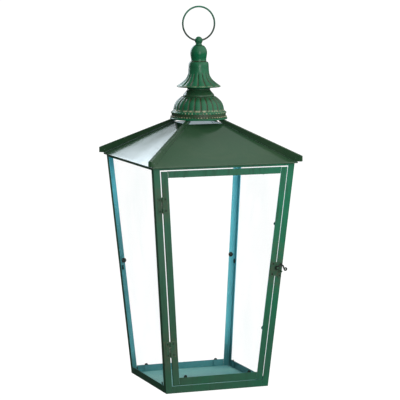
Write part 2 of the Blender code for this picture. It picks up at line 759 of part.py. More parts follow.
def build_latch_lever(metal, frame):
    """A hub with a wire arm that rises over the post, dips past it and ends in a curl."""
    pivot = Vector((PIVOT_PLACE[0], 0, PIVOT_PLACE[1]))
    lever_frame = frame @ Matrix.Translation(pivot)
    middle = -(LEVER_BACK + LEVER_FRONT) / 2
    rise = arc_points(ARCH_CENTRE, ARCH_RADIUS, 165, 52, 8)
    curl = arc_points(CURL_CENTRE, CURL_RADIUS, 215, 485, 14)
    route = [(x - pivot.x, middle, z - pivot.z) for x, z in rise + curl]
    arm_mesh = tube_mesh("latch_lever", route, LEVER_WIRE)
    lever = add_object("latch_lever", arm_mesh, metal, lever_frame)
    hub = rod_mesh("lever_hub", HUB_RADIUS, (0, -LEVER_BACK, 0), (0, -LEVER_FRONT, 0), 32)
    hole = rod_mesh("lever_hole", STUD_RADIUS + GAP, (0, 0, 0), (0, -LEVER_FRONT * 2, 0), 24)
    combine(lever, add_tool("lever_hub", hub, lever_frame), "UNION")
    combine(lever, add_tool("lever_hole", hole, lever_frame), "DIFFERENCE")


def hang_door(door_parts):
    """Put every door piece on an empty that stands on the hinge line."""
    pivot = bpy.data.objects.new("door_pivot", None)
    bpy.context.scene.collection.objects.link(pivot)
    pivot.matrix_world = hinge_frame(DOOR_PIVOT_HEIGHT)
    bpy.context.view_layer.update()
    for part in door_parts:
        part.parent = pivot
        part.matrix_parent_inverse = pivot.matrix_world.inverted()


def main():
    for obj in list(bpy.data.objects):
        bpy.data.objects.remove(obj)
    paint = make_material("green_paint", (52, 96, 74), 0.45, 0.25)
    crown_paint = make_material("crown_paint", (42, 108, 78), 0.4, 0.25)
    roof_paint = make_material("roof_paint", (62, 88, 68), 0.4, 0.3)
    metal = make_material("dark_hardware", (34, 52, 44), 0.5, 0.6)
    glass = make_material("clear_glass", (236, 246, 244), 0.05, 0.0, 1.0)
    build_tray(paint)
    build_posts(paint)
    build_rails(paint)
    build_panes(glass)
    build_pane_clips(metal)
    build_roof_panels(roof_paint)
    build_roof_ribs(roof_paint)
    build_crown(crown_paint)
    build_eye_bolt(crown_paint, metal)
    build_bail_ring(crown_paint)
    door_parts = []
    build_door_frame(paint, door_parts)
    build_door_glass(glass, metal, door_parts)
    build_hinges(metal, door_parts)
    build_latch(metal, door_parts)
    hang_door(door_parts)


main()
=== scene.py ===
"""Looks of the tapered hanging lantern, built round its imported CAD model.

The frame members, panes, hinges and clips are the CAD parts with softened edges and worn paint.
The crown, roof sheets, eye, ring and latch hook are remade here in finer detail, each in its own
place. Beads, rivets and screws are added.
"""
import json
import math

import bmesh
import bpy
from mathutils import Matrix, Vector, noise


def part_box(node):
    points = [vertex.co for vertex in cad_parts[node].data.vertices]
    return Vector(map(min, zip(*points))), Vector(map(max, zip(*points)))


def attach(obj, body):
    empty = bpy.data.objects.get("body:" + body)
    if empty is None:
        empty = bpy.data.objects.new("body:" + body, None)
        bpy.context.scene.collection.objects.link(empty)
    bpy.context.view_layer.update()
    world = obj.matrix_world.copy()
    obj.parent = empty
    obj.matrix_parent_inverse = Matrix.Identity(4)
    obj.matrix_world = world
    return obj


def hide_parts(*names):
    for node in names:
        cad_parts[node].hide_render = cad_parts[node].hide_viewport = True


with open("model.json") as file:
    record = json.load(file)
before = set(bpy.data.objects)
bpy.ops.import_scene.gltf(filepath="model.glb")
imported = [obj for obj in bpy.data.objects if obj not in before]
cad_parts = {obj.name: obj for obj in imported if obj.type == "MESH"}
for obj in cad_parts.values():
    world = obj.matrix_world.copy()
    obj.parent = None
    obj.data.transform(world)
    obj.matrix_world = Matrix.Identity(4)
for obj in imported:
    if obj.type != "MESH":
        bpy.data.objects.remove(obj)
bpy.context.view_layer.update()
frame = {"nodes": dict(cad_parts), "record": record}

TURN = math.tau
SMOOTH_EDGE = 40
CUT_EDGE = 35
CORNERS = {
    "front_left": (-1, -1),
    "front_right": (1, -1),
    "back_right": (1, 1),
    "back_left": (-1, 1),
}
SIDES = {
    "front": (Vector((0, -1, 0)), Vector((1, 0, 0))),
    "right": (Vector((1, 0, 0)), Vector((0, 1, 0))),
    "back": (Vector((0, 1, 0)), Vector((-1, 0, 0))),
    "left": (Vector((-1, 0, 0)), Vector((0, -1, 0))),
}
JOINTS = {joint["name"]: joint for joint in frame["record"]["behaviour"]["joints"]}


# ---------------------------------------------------------------- places taken from the frame

def middle(node):
    """Centre of a CAD node's box."""
    low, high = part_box(node)
    return (low + high) / 2


def face_axes(end):
    """Axes on the front face: right, inward, and up along its left (-1) or right (1) corner."""
    upward = -Vector(JOINTS["door_hinge"]["axis"]).normalized()
    upward.x = abs(upward.x) * end
    inward = -Vector(JOINTS["latch_turn"]["axis"]).normalized()
    return Matrix((inward.cross(upward), inward, upward)).transposed().to_4x4()


# ---------------------------------------------------------------- shader building

def colour(red, green, blue):
    """An everyday 0 to 255 colour as the linear values that shaders take."""
    channels = []
    for value in (red, green, blue):
        share = value / 255
        channels.append(share / 12.92 if share <= 0.04045 else ((share + 0.055) / 1.055) ** 2.4)
    return (*channels, 1)


class Look:
    """A material whose shader nodes are added one call at a time."""

    def __init__(self, name):
        self.material = bpy.data.materials.new(name)
        self.material.use_nodes = True
        self.tree = self.material.node_tree
        self.shader = self.tree.nodes["Principled BSDF"]
        self.output = self.tree.nodes["Material Output"]
        self.place = self.add("ShaderNodeTexCoord").outputs["Object"]
        self.facing = self.add("ShaderNodeTexCoord").outputs["Normal"]

    def feed(self, socket, value):
        """Link a socket to another node's output, or set its plain value."""
        if isinstance(value, bpy.types.NodeSocket):
            self.tree.links.new(value, socket)
        else:
            socket.default_value = value

    def add(self, kind, inputs=(), **settings):
        """Add a node; inputs are (name or index, value or output) pairs."""
        node = self.tree.nodes.new(kind)
        for key, value in settings.items():
            setattr(node, key, value)
        for key, value in inputs:
            self.feed(node.inputs[key], value)
        return node

    def maths(self, operation, first, second, clamp=False):
        """One sum: ADD, SUBTRACT, MULTIPLY or MAXIMUM of two values."""
        pairs = ((0, first), (1, second))
        return self.add("ShaderNodeMath", pairs, operation=operation, use_clamp=clamp).outputs[0]

    def stretch(self, scale):
        """Object coordinates scaled along each axis, so that a pattern can run in one direction."""
        pairs = (("Vector", self.place), ("Scale", scale))
        return self.add("ShaderNodeMapping", pairs).outputs[0]

    def noise(self, scale, detail, roughness, coordinates=None, warp=0.0):
        """Cloudy noise from 0 to 1; on plain coordinates, scale is about its blotches per metre."""
        pairs = (
            ("Vector", coordinates or self.place), ("Scale", scale), ("Detail", detail),
            ("Roughness", roughness), ("Distortion", warp))
        return self.add("ShaderNodeTexNoise", pairs).outputs["Fac"]

    def spread(self, value, low, high, to_low=0.0, to_high=1.0):
        """A value carried smoothly from one range to another."""
        pairs = (
            ("Value", value), ("From Min", low), ("From Max", high),
            ("To Min", to_low), ("To Max", to_high))
        node = self.add("ShaderNodeMapRange", pairs, interpolation_type="SMOOTHSTEP", clamp=True)
        return node.outputs["Result"]

    def blend(self, share, first, second):
        """Two colours mixed by a share from 0 to 1."""
        node = self.add("ShaderNodeMix", data_type="RGBA", clamp_factor=True)
        self.feed(node.inputs["Factor"], share)
        self.feed(node.inputs["A"], first)
        self.feed(node.inputs["B"], second)
        return node.outputs["Result"]

    def stored(self, name):
        """A value kept on the mesh's own points."""
        return self.add("ShaderNodeAttribute", attribute_name=name).outputs["Fac"]

    def edges(self, width):
        """1 on a convex or concave edge and 0 on flat ground, found by rounding the normal."""
        rounded = self.add("ShaderNodeBevel", (("Radius", width),), samples=6).outputs[0]
        plain = self.add("ShaderNodeNewGeometry").outputs["Normal"]
        pairs = ((0, rounded), (1, plain))
        alike = self.add("ShaderNodeVectorMath", pairs, operation="DOT_PRODUCT").outputs["Value"]
        return self.spread(alike, 0.995, 0.80)

    def shade_in_creases(self, reach):
        """1 deep in a corner or groove, 0 in the open, read from occlusion for painted shade."""
        node = self.add("ShaderNodeAmbientOcclusion", (("Distance", reach),), samples=8,
                        only_local=True)
        return self.spread(node.outputs["AO"], 0.85, 0.25)

    def near(self, point, reach, stretch_z):
        """1 at a point, falling to 0 at a distance that is stretched up and down."""
        moved = self.add("ShaderNodeVectorMath", ((0, self.place), (1, tuple(point))),
                         operation="SUBTRACT").outputs[0]
        squeezed = self.add("ShaderNodeVectorMath", ((0, moved), (1, (1, 1, 1 / stretch_z))),
                            operation="MULTIPLY").outputs[0]
        away = self.add("ShaderNodeVectorMath", ((0, squeezed),), operation="LENGTH")
        return self.spread(away.outputs["Value"], reach, reach * 0.25)

    def bump(self, height, distance, strength, under=None):
        """A surface made uneven by a height value, on top of any bump given as under."""
        pairs = [("Height", height), ("Distance", distance), ("Strength", strength)]
        if under is not None:
            pairs.append(("Normal", under))
        return self.add("ShaderNodeBump", pairs).outputs[0]

    def along(self, axis, low, high):
        """0 to 1 between two places along X (0), Y (1) or Z (2)."""
        parts = self.add("ShaderNodeSeparateXYZ", ((0, self.place),))
        return self.spread(parts.outputs[axis], low, high)

    def downward(self):
        """1 on surfaces that face the ground."""
        parts = self.add("ShaderNodeSeparateXYZ", ((0, self.facing),))
        return self.spread(parts.outputs[2], -0.25, -0.5)

    def inward(self):
        """1 on surfaces that face the lantern's centre line, 0 on those that face away."""
        flat = self.add("ShaderNodeVectorMath", ((0, self.place), (1, (1, 1, 0))),
                        operation="MULTIPLY").outputs[0]
        dot = self.add("ShaderNodeVectorMath", ((0, flat), (1, self.facing)),
                       operation="DOT_PRODUCT").outputs["Value"]
        return self.spread(dot, 0.03, -0.03)

    def worn(self, mask, cloud, low, high):
        """A mask broken up into patches, which are left where the cloud value is high."""
        return self.maths("MULTIPLY", mask, self.spread(cloud, low, high))

    def cover(self, base, tone, mask, strength):
        """A tone laid over a base where a mask is 1, at most at the given strength."""
        return self.blend(self.maths("MULTIPLY", mask, strength), base, tone)

    def finish(self, base, roughness, metallic=0.0, specular=0.5, bump=None):
        """Feed the shader and hand the material over."""
        for key, value in (("Base Color", base), ("Roughness", roughness), ("Metallic", metallic),
                           ("Specular IOR Level", specular)):
            self.feed(self.shader.inputs[key], value)
        if bump is not None:
            self.feed(self.shader.inputs["Normal"], bump)
        return self.material


# ---------------------------------------------------------------- materials

RUST = colour(92, 66, 48)
# Dark umber used as painted shade in corners and creases.
CREASE_SHADE_UMBER = colour(52, 42, 34)
TAN = colour(176, 158, 132)
IRON_DARK = colour(14, 28, 22)
IRON_LIGHT = colour(30, 42, 34)
BASE_RAIL_EDGE = 0.0160
GLASS_MIRROR = 0.05


def outside_green(look, upward):
    """The frame's green: brighter high up and, as painted light, to the right; darker vertical
    streaks.
    """
    patch = look.spread(look.noise(9.0, 3.0, 0.5, warp=0.4), 0.35, 0.65)
    # Painted light: the green turns brighter and more emerald towards the right.
    lit_to_right = look.along(0, -0.13, 0.17)
    olive = look.blend(patch, colour(34, 78, 56), colour(42, 74, 56))
    emerald = look.blend(patch, colour(16, 90, 62), colour(30, 83, 62))
    low_tone = look.blend(lit_to_right, olive, emerald)
    olive = look.blend(patch, colour(44, 94, 72), colour(52, 92, 72))
    emerald = look.blend(patch, colour(24, 112, 80), colour(40, 104, 78))
    high_tone = look.blend(lit_to_right, olive, emerald)
    streaks = look.noise(1.0, 4.0, 0.6, look.stretch((140, 140, 7)))
    base = look.blend(upward, low_tone, high_tone)
    return look.blend(look.spread(streaks, 0.45, 0.75, 0, 0.55), base, colour(36, 62, 46))


def inside_teal(look, upward):
    """Teal on the frame's inside, paler as painted reflection, with painted shade low and on the
    left.
    """
    # Painted reflection: the teal paint drawn paler, and brighter higher up, than the paint alone.
    teal = look.blend(upward, colour(100, 196, 208), colour(112, 232, 250))
    # Painted shade: darker near the floor, and on the left below the roof.
    floor_painted_shade = look.maths("SUBTRACT", 1.0, look.along(2, 0.02, 0.10))
    left_side = look.maths("SUBTRACT", 1.0, look.along(0, -0.14, -0.05))
    below_roof = look.maths("SUBTRACT", 0.8, look.along(2, 0.28, 0.48))
    left_painted_shade = look.maths("MULTIPLY", left_side, below_roof, clamp=True)
    return look.blend(look.maths("MAXIMUM", floor_painted_shade, left_painted_shade), teal, colour(58, 122, 126))


def handled_places(look):
    """1 round the latch and both hinges, where hands and rubbing metal wear the paint."""
    places = look.near(JOINTS["latch_turn"]["pos_m"], 0.055, 1.6)
    for pin in ("hinge_pin_lower", "hinge_pin_upper"):
        places = look.maths("MAXIMUM", places, look.near(middle(pin), 0.045, 1.4))
    return places


def frame_paint():
    """Satin green sheet paint, teal on the inside, with brown wear at edges and fittings."""
    look = Look("worn_frame_paint")
    upward = look.along(2, 0.05, 0.50)
    mottle = look.noise(160.0, 4.0, 0.7)
    smudge = look.worn(handled_places(look), mottle, 0.38, 0.66)
    base = look.cover(outside_green(look, upward), RUST, smudge, 0.3)
    base = look.blend(look.inward(), base, inside_teal(look, upward))

    edge = look.edges(0.0012)
    chipped = look.worn(edge, look.noise(75.0, 5.0, 0.7), 0.45, 0.62)
    bright = look.worn(edge, look.noise(210.0, 3.0, 0.6), 0.62, 0.72)
    base = look.cover(base, RUST, chipped, 0.75)
    base = look.cover(base, TAN, bright, 0.8)
    # Painted shade: dark umber laid into corners and creases where occlusion is deep.
    base = look.cover(base, CREASE_SHADE_UMBER, look.shade_in_creases(0.006), 0.4)

    rough = look.spread(mottle, 0.3, 0.7, 0.36, 0.56)
    rough = look.maths("ADD", rough, look.maths("MULTIPLY", chipped, 0.2))
    surface = look.bump(look.noise(26.0, 2.0, 0.5), 0.0012, 0.5)
    surface = look.bump(look.noise(420.0, 2.0, 0.5), 0.00012, 0.7, surface)
    surface = look.bump(look.maths("SUBTRACT", 1.0, chipped), 0.0002, 0.8, surface)
    return look.finish(base, rough, 0.0, 0.25, surface)


def tray_paint():
    """The floor plate: paler and bluer than the frame, with scuffs."""
    look = Look("worn_tray_paint")
    drift = look.noise(11.0, 4.0, 0.55, warp=0.6)
    base = look.blend(look.spread(drift, 0.35, 0.65), colour(92, 152, 150), colour(124, 178, 170))
    scuff = look.spread(look.noise(60.0, 6.0, 0.7, look.stretch((1, 2.5, 1))), 0.55, 0.75, 0, 0.5)
    base = look.blend(scuff, base, colour(168, 206, 200))
    # Painted shade: dark teal laid into the tray's corners where occlusion is deep.
    base = look.cover(base, colour(30, 84, 74), look.shade_in_creases(0.02), 0.8)
    surface = look.bump(look.noise(300.0, 3.0, 0.6), 0.00015, 0.6)
    return look.finish(base, look.spread(drift, 0.3, 0.7, 0.3, 0.5), 0.0, 0.5, surface)


def roof_paint():
    """Roof paint: smoother and glossier, darker near the crown as painted shade, pale under the
    sheet.
    """
    look = Look("worn_roof_paint")
    drift = look.noise(12.0, 4.0, 0.6, warp=0.8)
    base = look.blend(look.spread(drift, 0.38, 0.66), colour(39, 72, 47), colour(48, 76, 52))
    # Painted shade: the sheet drawn darker towards the crown.
    base = look.cover(base, colour(30, 54, 36), look.along(2, 0.52, 0.60), 0.7)
    speckle = look.spread(look.noise(260.0, 3.0, 0.7), 0.60, 0.74, 0, 0.25)
    base = look.blend(speckle, base, colour(74, 98, 78))
    base = look.blend(look.downward(), base, colour(176, 196, 204))
    chipped = look.worn(look.edges(0.0012), look.noise(90.0, 5.0, 0.7), 0.46, 0.64)
    base = look.cover(base, RUST, chipped, 0.7)
    # Painted shade: near-black green laid into corners where occlusion is deep.
    base = look.cover(base, colour(24, 36, 26), look.shade_in_creases(0.008), 0.7)
    rough = look.spread(drift, 0.3, 0.7, 0.15, 0.21)
    surface = look.bump(look.noise(22.0, 2.0, 0.4), 0.0004, 0.35)
    surface = look.bump(look.noise(380.0, 2.0, 0.5), 0.00006, 0.5, surface)
    return look.finish(base, rough, 0.0, 0.4, surface)


def crown_paint():
    """Bright green over cast metal, with brown in its grooves and pale rubbed high spots."""
    look = Look("worn_crown_paint")
    groove = look.stored("groove")
    high = look.stored("high")
    drift = look.noise(38.0, 4.0, 0.6, warp=0.5)
    base = look.blend(look.spread(drift, 0.35, 0.68), colour(14, 96, 62), colour(24, 86, 56))
    fine = look.noise(420.0, 4.0, 0.7)
    base = look.cover(base, colour(64, 46, 34), look.worn(groove, fine, 0.25, 0.6), 0.95)
    # Painted shade: umber deep in flutes and corners by occlusion, over the grooves' brown patina.
    base = look.cover(base, CREASE_SHADE_UMBER, look.shade_in_creases(0.004), 0.75)
    rubbed = look.worn(high, look.noise(130.0, 4.0, 0.7), 0.40, 0.56)
    base = look.cover(base, colour(196, 180, 152), rubbed, 0.95)
    rough = look.spread(fine, 0.3, 0.7, 0.20, 0.36)
    surface = look.bump(look.noise(190.0, 3.0, 0.6), 0.00035, 0.6)
    surface = look.bump(fine, 0.0001, 0.6, surface)
    return look.finish(base, rough, 0.0, 0.28, surface)


def ring_paint():
    """The ring's green: painted light on top, painted shade low down near the eye, dark and
    brownish.
    """
    look = Look("worn_ring_paint")
    mottle = look.noise(200.0, 4.0, 0.7)
    height = JOINTS["ring_swing"]["pos_m"][2]
    low_tone = look.blend(look.spread(mottle, 0.4, 0.66), colour(24, 52, 42), colour(52, 50, 40))
    high_tone = look.blend(look.spread(mottle, 0.4, 0.7), colour(24, 104, 76), colour(40, 92, 70))
    # Painted light and shade: the ring is dark low down and bright green high up.
    base = look.blend(look.along(2, height + 0.010, height + 0.066), low_tone, high_tone)
    rough = look.spread(mottle, 0.3, 0.7, 0.3, 0.5)
    surface = look.bump(mottle, 0.0002, 0.7)
    return look.finish(base, rough, 0.0, 0.5, surface)


def dark_hardware():
    """Green-black painted iron for the latch hook, screws, rivets and dark clips."""
    look = Look("dark_hardware")
    mottle = look.noise(240.0, 4.0, 0.7)
    base = look.blend(look.spread(mottle, 0.4, 0.66), IRON_DARK, IRON_LIGHT)
    worn = look.worn(look.edges(0.0006), look.noise(150.0, 4.0, 0.7), 0.42, 0.6)
    base = look.cover(base, RUST, worn, 0.4)
    rough = look.spread(mottle, 0.3, 0.7, 0.34, 0.55)
    surface = look.bump(mottle, 0.00025, 0.7)
    return look.finish(base, rough, 0.1, 0.3, surface)


def clip_paint():
    """Pane clips: painted over with the rails as far as the rail's edge, bare above it."""
    look = Look("half_painted_clips")
    mottle = look.noise(240.0, 4.0, 0.7)
    bare = look.blend(look.spread(mottle, 0.4, 0.66), IRON_DARK, IRON_LIGHT)
    bare_part = look.along(2, BASE_RAIL_EDGE - 0.0010, BASE_RAIL_EDGE + 0.0010)
    base = look.blend(bare_part, colour(58, 118, 122), bare)
    surface = look.bump(mottle, 0.0002, 0.6)
    return look.finish(base, look.spread(mottle, 0.3, 0.7, 0.4, 0.55), 0.0, 0.3, surface)


def hinge_metal():
    """The hinges' paint, rubbed through to brown iron."""
    look = Look("rubbed_hinge_paint")
    mottle = look.noise(150.0, 5.0, 0.7)
    base = look.blend(look.spread(mottle, 0.42, 0.70), colour(42, 82, 60), colour(66, 72, 52))
    worn = look.worn(look.edges(0.0006), look.noise(220.0, 4.0, 0.7), 0.42, 0.6)
    base = look.cover(base, TAN, worn, 0.8)
    rough = look.spread(mottle, 0.3, 0.7, 0.38, 0.58)
    surface = look.bump(mottle, 0.0003, 0.7)
    return look.finish(base, rough, 0.25, 0.5, surface)


def clear_glass():
    """Thin window glass: clear with a faint tint and a weak mirror that grows as it is grazed."""
    look = Look("clear_glass")
    look.tree.nodes.remove(look.shader)
    smear = look.noise(14.0, 4.0, 0.6, look.stretch((1, 1, 0.4)))
    tint = look.blend(look.spread(smear, 0.4, 0.7), colour(255, 255, 255), colour(253, 254, 254))
    through = look.add("ShaderNodeBsdfTransparent", (("Color", tint),)).outputs[0]
    gloss = look.add("ShaderNodeBsdfGlossy", (
        ("Color", (1, 1, 1, 1)), ("Roughness", look.spread(smear, 0.3, 0.7, 0.02, 0.05))))
    glance = look.add("ShaderNodeFresnel", (("IOR", 1.45),)).outputs[0]
    share = look.maths("MULTIPLY", glance, GLASS_MIRROR)
    mixed = look.add("ShaderNodeMixShader", ((0, share), (1, through), (2, gloss.outputs[0])))
    look.feed(look.output.inputs["Surface"], mixed.outputs[0])
    return look.material


# ---------------------------------------------------------------- pieces

def add_piece(name, mesh, material, body, replaces=(), place=None):
    """Link a mesh as a named piece that rides on a CAD body."""
    piece = bpy.data.objects.new(name, mesh)
    bpy.context.scene.collection.objects.link(piece)
    mesh.materials.clear()
    mesh.materials.append(material)
    if place is not None:
        piece.matrix_world = place
    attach(piece, body)
    if replaces:
        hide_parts(*replaces)
    return piece


def add_helper(name, mesh):
    """Link a passing object that only lends its shape to a piece."""
    helper = bpy.data.objects.new(name, mesh)
    bpy.context.scene.collection.objects.link(helper)
    return helper


def shade(mesh, smooth_angle):
    """Smooth shading, kept sharp where faces meet at more than an angle in degrees."""
    mesh.shade_smooth()
    mesh.set_sharp_from_angle(angle=math.radians(smooth_angle))


def to_mesh(name, shape, smooth_angle=SMOOTH_EDGE):
    """Turn a bmesh into a mesh whose faces point outward, smooth but for its sharp edges."""
    bmesh.ops.recalc_face_normals(shape, faces=shape.faces)
    mesh = bpy.data.meshes.new(name)
    shape.to_mesh(mesh)
    shape.free()
    shade(mesh, smooth_angle)
    return mesh


def store(mesh, name, values):
    """Keep one number per point on a mesh, for its material to read."""
    mesh.attributes.new(name, "FLOAT", "POINT").data.foreach_set("value", values)


def smooth_run(points, steps):
    """A Catmull-Rom curve through points, with the first and last ones kept."""
    padded = [points[0]] + list(points) + [points[-1]]
    curve = []
    for index in range(1, len(padded) - 2):
        before, start, end, after = padded[index - 1:index + 3]
        for step in range(steps):
            t = step / steps
            curve.append(tuple(
                0.5 * (2 * s + (e - b) * t + (2 * b - 5 * s + 4 * e - a) * t ** 2
                       + (3 * s - b - 3 * e + a) * t ** 3)
                for b, s, e, a in zip(before, start, end, after)))
    curve.append(tuple(points[-1]))
    return curve


def bridge(shape, rings):
    """Faces between each ring of points and the following one."""
    for ring, following in rings:
        for index in range(len(ring)):
            other = (index + 1) % len(ring)
            shape.faces.new((ring[index], following[index], following[other], ring[other]))


def turned(name, profile, around, carve=None):
    """A closed loop of (radius, height) points carried round the Z axis.

    carve(radius, height, angle) returns a new radius and two wear values, groove and high.
    """
    shape = bmesh.new()
    rings = []
    grooves = []
    highs = []
    for step in range(around):
        angle = TURN * step / around
        ring = []
        for radius, height in profile:
            groove = high = 0.0
            if carve is not None:
                radius, groove, high = carve(radius, height, angle)
            point = (radius * math.cos(angle), radius * math.sin(angle), height)
            ring.append(shape.verts.new(point))
            grooves.append(groove)
            highs.append(high)
        rings.append(ring)
    bridge(shape, zip(rings, rings[1:] + rings[:1]))
    mesh = to_mesh(name, shape)
    store(mesh, "groove", grooves)
    store(mesh, "high", highs)
    return mesh


def solid_turned(name, profile, around, smooth_angle=SMOOTH_EDGE):
    """An open run of (radius, height) points, from the axis and back to it, carried round Z."""
    shape = bmesh.new()
    points = [shape.verts.new((radius, 0, height)) for radius, height in profile]
    edges = [shape.edges.new(pair) for pair in zip(points, points[1:])]
    bmesh.ops.spin(shape, geom=points + edges, cent=(0, 0, 0), axis=(0, 0, 1), angle=TURN,
                   steps=around, use_merge=True)
    bmesh.ops.remove_doubles(shape, verts=shape.verts, dist=0.000001)
    return to_mesh(name, shape, smooth_angle)


def flute_wave(count, angle):
    """0 at the sharp bottom of each groove and 1 along the crest of each lobe."""
    return abs(math.sin(count * angle / 2))


def rise(value, low, high):
    """A smooth step from 0 at low to 1 at high."""
    share = min(1.0, max(0.0, (value - low) / (high - low)))
    return share * share * (3 - 2 * share)


# ---------------------------------------------------------------- crown

def crown_dome(material):
    """Gadrooned dome over a milled band and a rolled foot, where two rows of beads sit."""
    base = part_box("crown_dome")[0].z
    foot = [(0.0598, 0.0), (0.0622, 0.0)]
    roll = smooth_run([(0.0622, 0.0), (0.0637, 0.0006), (0.0641, 0.0017), (0.0637, 0.0030),
                       (0.0624, 0.0039)], 4)
    band = [(0.0612, 0.0043), (0.0612, 0.0074), (0.0601, 0.0078), (0.0601, 0.0086),
            (0.0604, 0.0092), (0.0604, 0.0116), (0.0601, 0.0122), (0.0601, 0.0128)]
    seat = smooth_run([(0.0608, 0.0132), (0.0604, 0.0160), (0.0592, 0.0176), (0.0574, 0.0184)], 4)
    lobes = smooth_run([(0.0574, 0.0190), (0.0563, 0.0222), (0.0551, 0.0280), (0.0528, 0.0347),
                        (0.0485, 0.0409), (0.0433, 0.0459), (0.0402, 0.0483)], 8)
    crown = smooth_run([(0.0398, 0.0486), (0.0395, 0.0490), (0.0388, 0.0496), (0.0372, 0.0498)], 3)
    inside = [(0.0034, 0.0498), (0.0034, 0.0470), (0.0350, 0.0463), (0.0424, 0.0409),
              (0.0486, 0.0319), (0.0540, 0.0187), (0.0572, 0.0147), (0.0575, 0.0087)]
    outside = foot + roll[1:] + band + seat + lobes + crown
    profile = [(radius, base + height) for radius, height in outside + inside]
    flutes = 24
    teeth = 120
    teeth_from, teeth_to = 0.0090, 0.0118
    lobes_from, lobes_to = 0.0188, 0.0484

    def carve(radius, height, angle):
        level = height - base
        if 0.0600 < radius < 0.0620 and teeth_from < level < teeth_to:
            tooth = 0.5 + 0.5 * math.cos(teeth * angle)
            return radius - 0.0006 * (1 - tooth), 0.55 + 0.45 * (1 - tooth), 0.0
        if level < lobes_from or level > lobes_to or radius < 0.0400:
            joint = 0.80 if 0.0042 < level < 0.0130 and radius > 0.0580 else 0.0
            if 0.0182 < level < 0.0190 or lobes_to < level < 0.0492:
                joint = 0.72
            return radius, joint, 0.0
        wave = flute_wave(flutes, angle)
        top = rise(level, 0.0360, lobes_to)
        foot_end = rise(level, lobes_from, 0.0215)
        depth = (0.0016 + 0.0012 * top) * foot_end
        groove = 1 - wave ** 0.55
        stain = rise(groove, 0.22, 0.62) * foot_end + top * 0.35
        crest = wave * (1 - rise(level, 0.0195, 0.0235)) * 0.8
        return radius - depth * groove, stain, crest

    mesh = turned("crown_dome", profile, flutes * 20, carve)
    add_piece("crown_dome_cast", mesh, material, "lantern", ("crown_dome",))
    for label, count, radius, level, size in (
            ("lower", 60, 0.0615, 0.0056, 0.0018), ("upper", 48, 0.0606, 0.0147, 0.0018)):
        bead_row(f"crown_beads_{label}", count, radius, base + level, size, material)


def bead_row(name, count, radius, height, size, material):
    """A ring of slightly flattened beads."""
    shape = bmesh.new()
    for index in range(count):
        angle = TURN * (index + 0.5) / count
        place = (Matrix.Rotation(angle, 4, "Z") @ Matrix.Translation((radius, 0, height))
                 @ Matrix.Diagonal((0.85, 1.0, 0.9, 1.0)))
        bmesh.ops.create_uvsphere(shape, u_segments=14, v_segments=9, radius=size, matrix=place)
    highs = []
    grooves = []
    for vertex in shape.verts:
        out = (math.hypot(vertex.co.x, vertex.co.y) - radius) / size
        up = (vertex.co.z - height) / size
        highs.append(rise(out * 0.6 + up * 0.6, 0.25, 0.7))
        grooves.append(1 - rise(out, -0.2, 0.35))
    mesh = to_mesh(name, shape, 60)
    store(mesh, "groove", grooves)
    store(mesh, "high", highs)
    add_piece(name, mesh, material, "lantern")


def crown_bell(material):
    """A waisted foot under a wide fluted skirt that narrows to a plain collar."""
    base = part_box("crown_bell")[0].z
    waist = smooth_run([(0.0346, 0.0), (0.0347, 0.0020), (0.0342, 0.0040), (0.0322, 0.0066),
                        (0.0284, 0.0109), (0.0256, 0.0150), (0.0256, 0.0180), (0.0290, 0.0198)], 5)
    under = smooth_run([(0.0290, 0.0198), (0.0370, 0.0202), (0.0445, 0.0207), (0.0477, 0.0211)], 4)
    lip = smooth_run([(0.0477, 0.0211), (0.0485, 0.0217), (0.0488, 0.0225), (0.0485, 0.0233),
                      (0.0475, 0.0241)], 4)
    skirt = smooth_run([(0.0475, 0.0241), (0.0426, 0.0275), (0.0378, 0.0312), (0.0317, 0.0365),
                        (0.0273, 0.0422), (0.0247, 0.0478), (0.0233, 0.0542), (0.0226, 0.0620)], 8)
    collar = smooth_run([(0.0226, 0.0620), (0.0223, 0.0691), (0.0219, 0.0725), (0.0211, 0.0750),
                         (0.0198, 0.0764), (0.0184, 0.0771)], 5)
    inside = [(0.0034, 0.0771), (0.0034, 0.0741), (0.0160, 0.0741), (0.0170, 0.0596),
              (0.0190, 0.0446), (0.0210, 0.0126), (0.0290, 0.0)]
    outside = waist + under[1:] + lip[1:] + skirt[1:] + collar[1:]
    profile = [(radius, base + height) for radius, height in outside + inside]
    flutes = 16
    flutes_from, flutes_to = 0.0232, 0.0560

    def carve(radius, height, angle):
        level = height - base
        if level < flutes_from or level > flutes_to or radius < 0.0220:
            line = 0.8 if 0.0190 < level < 0.0205 and radius < 0.0360 else 0.0
            if level < 0.0180 and radius > 0.0240:
                line = 0.8 if level < 0.0010 else 0.5
            if level > 0.0752:
                line = 0.45 * rise(level, 0.0752, 0.0770)
            return radius, line, 0.0
        wave = flute_wave(flutes, angle)
        low_end = rise(level, flutes_from, 0.0266)
        high_end = 1 - rise(level, 0.0430, flutes_to)
        depth = 0.0023 * low_end * high_end
        groove = 1 - wave ** 0.6
        stain = rise(groove, 0.25, 0.7) * low_end * (0.25 + 0.75 * high_end)
        crest = wave * (1 - rise(level, flutes_from, 0.0262)) * 0.5
        return radius - depth * groove, stain * (1 - rise(level, 0.0530, flutes_to)), crest

    mesh = turned("crown_bell", profile, flutes * 24, carve)
    add_piece("crown_bell_cast", mesh, material, "lantern", ("crown_bell",))


